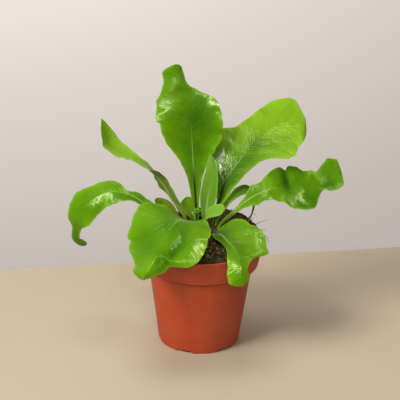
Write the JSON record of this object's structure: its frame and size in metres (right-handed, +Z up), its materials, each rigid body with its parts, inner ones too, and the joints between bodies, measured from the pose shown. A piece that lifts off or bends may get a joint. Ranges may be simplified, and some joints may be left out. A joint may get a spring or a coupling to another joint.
{
  "type": "potted fern",
  "caption": "Young bird's nest fern with broad wavy strap fronds in a round tapered plastic nursery pot with an overhanging rim, filled with mounded soil.",
  "frame": {"origin": "centre of the pot's foot plane, on the pot's axis, where the pot stands on a table", "axes": "+Z up along the pot's axis, -Y towards the viewer of the picture (front), +X to the viewer's right"},
  "size_m": [0.2297, 0.1435, 0.2301],
  "materials": {
    "pot": "matt terracotta-coloured plastic with a slight sheen",
    "soil": "crumbly dark peat and coir",
    "crown": "rough rhizome with brown papery scales",
    "leaf": "fresh green leaf, satin to glossy, paler midrib",
    "young_leaf": "pale young leaf, satin",
    "old_leaf": "olive ageing leaf, dull"
  },
  "bodies": {
    "root": {"pot": "pot", "soil": "soil", "crown": "crown", "frond_tall": "leaf", "frond_right_high": "leaf", "frond_right_low": "leaf", "frond_arched": "leaf", "frond_left_arching": "leaf", "frond_front_left": "leaf", "frond_front_right": "leaf", "frond_thin_left": "leaf", "frond_young_upright": "young_leaf", "frond_small_back": "young_leaf", "frond_small_brown": "old_leaf", "frond_small_front": "young_leaf", "crozier": "young_leaf"}
  },
  "joints": []
}
